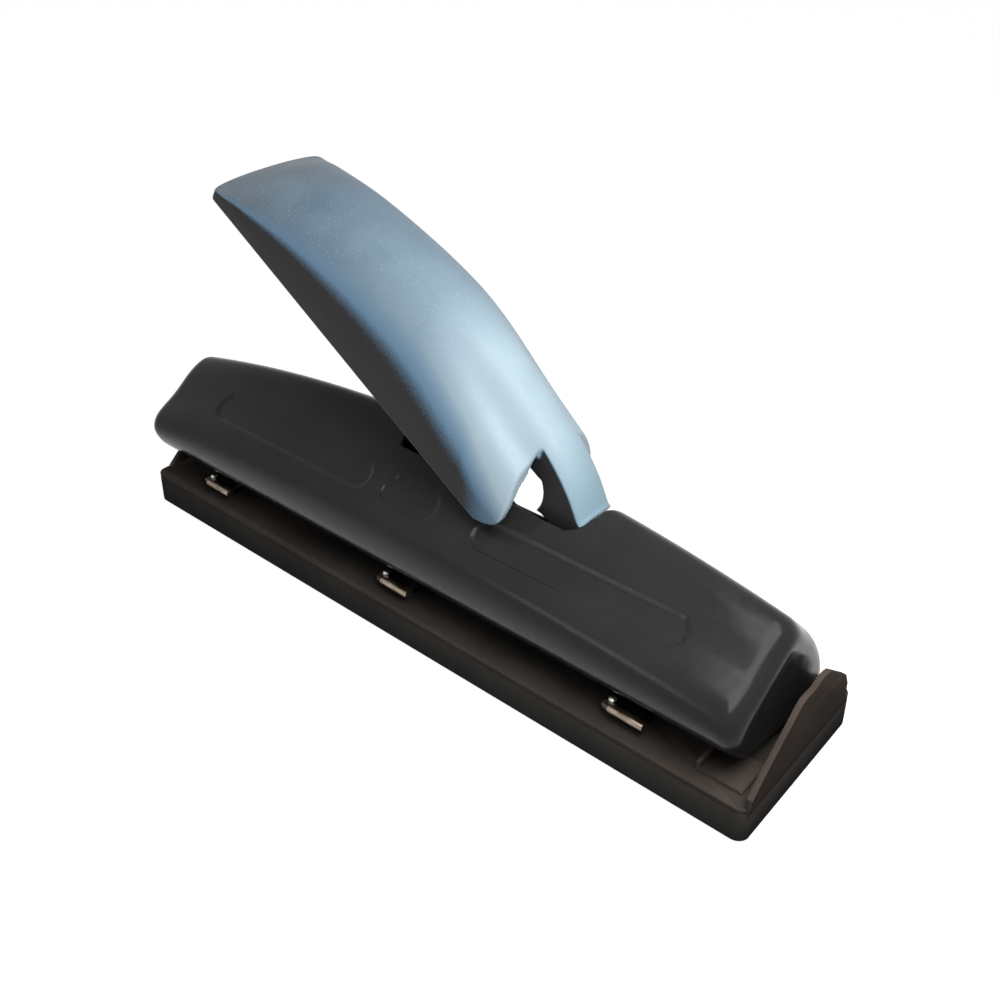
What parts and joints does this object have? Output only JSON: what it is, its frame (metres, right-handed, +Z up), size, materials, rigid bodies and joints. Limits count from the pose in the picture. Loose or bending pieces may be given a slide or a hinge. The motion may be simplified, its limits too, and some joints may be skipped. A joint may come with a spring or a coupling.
{
  "type": "three-hole desk punch",
  "caption": "Long desk paper punch with a hollow arched lever over a glossy cover, punch guides in a paper throat and a chip tray as its base.",
  "frame": {"origin": "middle of the base, on the table it stands on", "axes": "+X along the base to the right as the user sees it, +Y away from the user, +Z up"},
  "size_m": [0.3068, 0.0738, 0.1612],
  "materials": {
    "tray_plastic": "fine grained black moulding",
    "foot_rubber": "matt black rubber",
    "frame_paint": "dark brown-black baked paint, glossy",
    "zinc_plate": "zinc plated pressed steel",
    "guide_steel": "bright plated steel",
    "tool_steel": "ground steel",
    "spring_steel": "drawn spring wire",
    "cover_gloss": "glossy black",
    "lever_paint": "satin blue-grey with fine speckle"
  },
  "bodies": {
    "base": {"base_tray": "tray_plastic", "foot_front_left": "foot_rubber", "foot_front_right": "foot_rubber", "foot_rear_left": "foot_rubber", "foot_rear_right": "foot_rubber", "steel_frame": "frame_paint", "paper_stop": "zinc_plate", "edge_stop": "frame_paint", "die_bush_left": "tool_steel", "die_bush_middle": "tool_steel", "die_bush_right": "tool_steel", "punch_guide_left": "guide_steel", "punch_guide_middle": "guide_steel", "punch_guide_right": "guide_steel", "guide_rivet_left": "guide_steel", "guide_rivet_middle": "guide_steel", "guide_rivet_right": "guide_steel", "return_spring_left": "spring_steel", "return_spring_middle": "spring_steel", "return_spring_right": "spring_steel", "hinge_bracket": "zinc_plate", "hinge_pin": "tool_steel", "hinge_clip_front": "spring_steel", "hinge_clip_rear": "spring_steel", "cover": "cover_gloss", "cover_screw_right": "tool_steel", "cover_screw_left": "tool_steel"},
    "lever": {"lever_shell": "lever_paint", "lever_arm": "zinc_plate", "press_pin": "tool_steel", "lever_screw_heel": "tool_steel", "lever_screw_front": "tool_steel"},
    "beam": {"press_beam": "zinc_plate"},
    "punch_l": {"punch_left": "tool_steel"},
    "punch_m": {"punch_middle": "tool_steel"},
    "punch_r": {"punch_right": "tool_steel"}
  },
  "joints": [
    {"name": "lever_hinge", "type": "hinge", "parent": "base", "child": "lever", "pos_m": [0.0162, 0, 0.0515], "axis": [0, -1, 0], "range_deg": [0, 37], "stiffness_Nm_per_rad": 1.2, "springref_deg": -17.19},
    {"name": "beam_slide", "type": "slide", "parent": "base", "child": "beam", "axis": [0, 0, -1], "range_m": [0, 0.009]},
    {"name": "punch_left_slide", "type": "slide", "parent": "base", "child": "punch_l", "axis": [0, 0, -1], "range_m": [0, 0.009], "deforming": ["return_spring_left"]},
    {"name": "punch_middle_slide", "type": "slide", "parent": "base", "child": "punch_m", "axis": [0, 0, -1], "range_m": [0, 0.009], "deforming": ["return_spring_middle"]},
    {"name": "punch_right_slide", "type": "slide", "parent": "base", "child": "punch_r", "axis": [0, 0, -1], "range_m": [0, 0.009], "deforming": ["return_spring_right"]}
  ],
  "couplings": [
    {"joint": "beam_slide", "follows": "lever_hinge", "m_per_rad": 0.013936},
    {"joint": "punch_left_slide", "follows": "lever_hinge", "m_per_rad": 0.013936},
    {"joint": "punch_middle_slide", "follows": "lever_hinge", "m_per_rad": 0.013936},
    {"joint": "punch_right_slide", "follows": "lever_hinge", "m_per_rad": 0.013936}
  ]
}
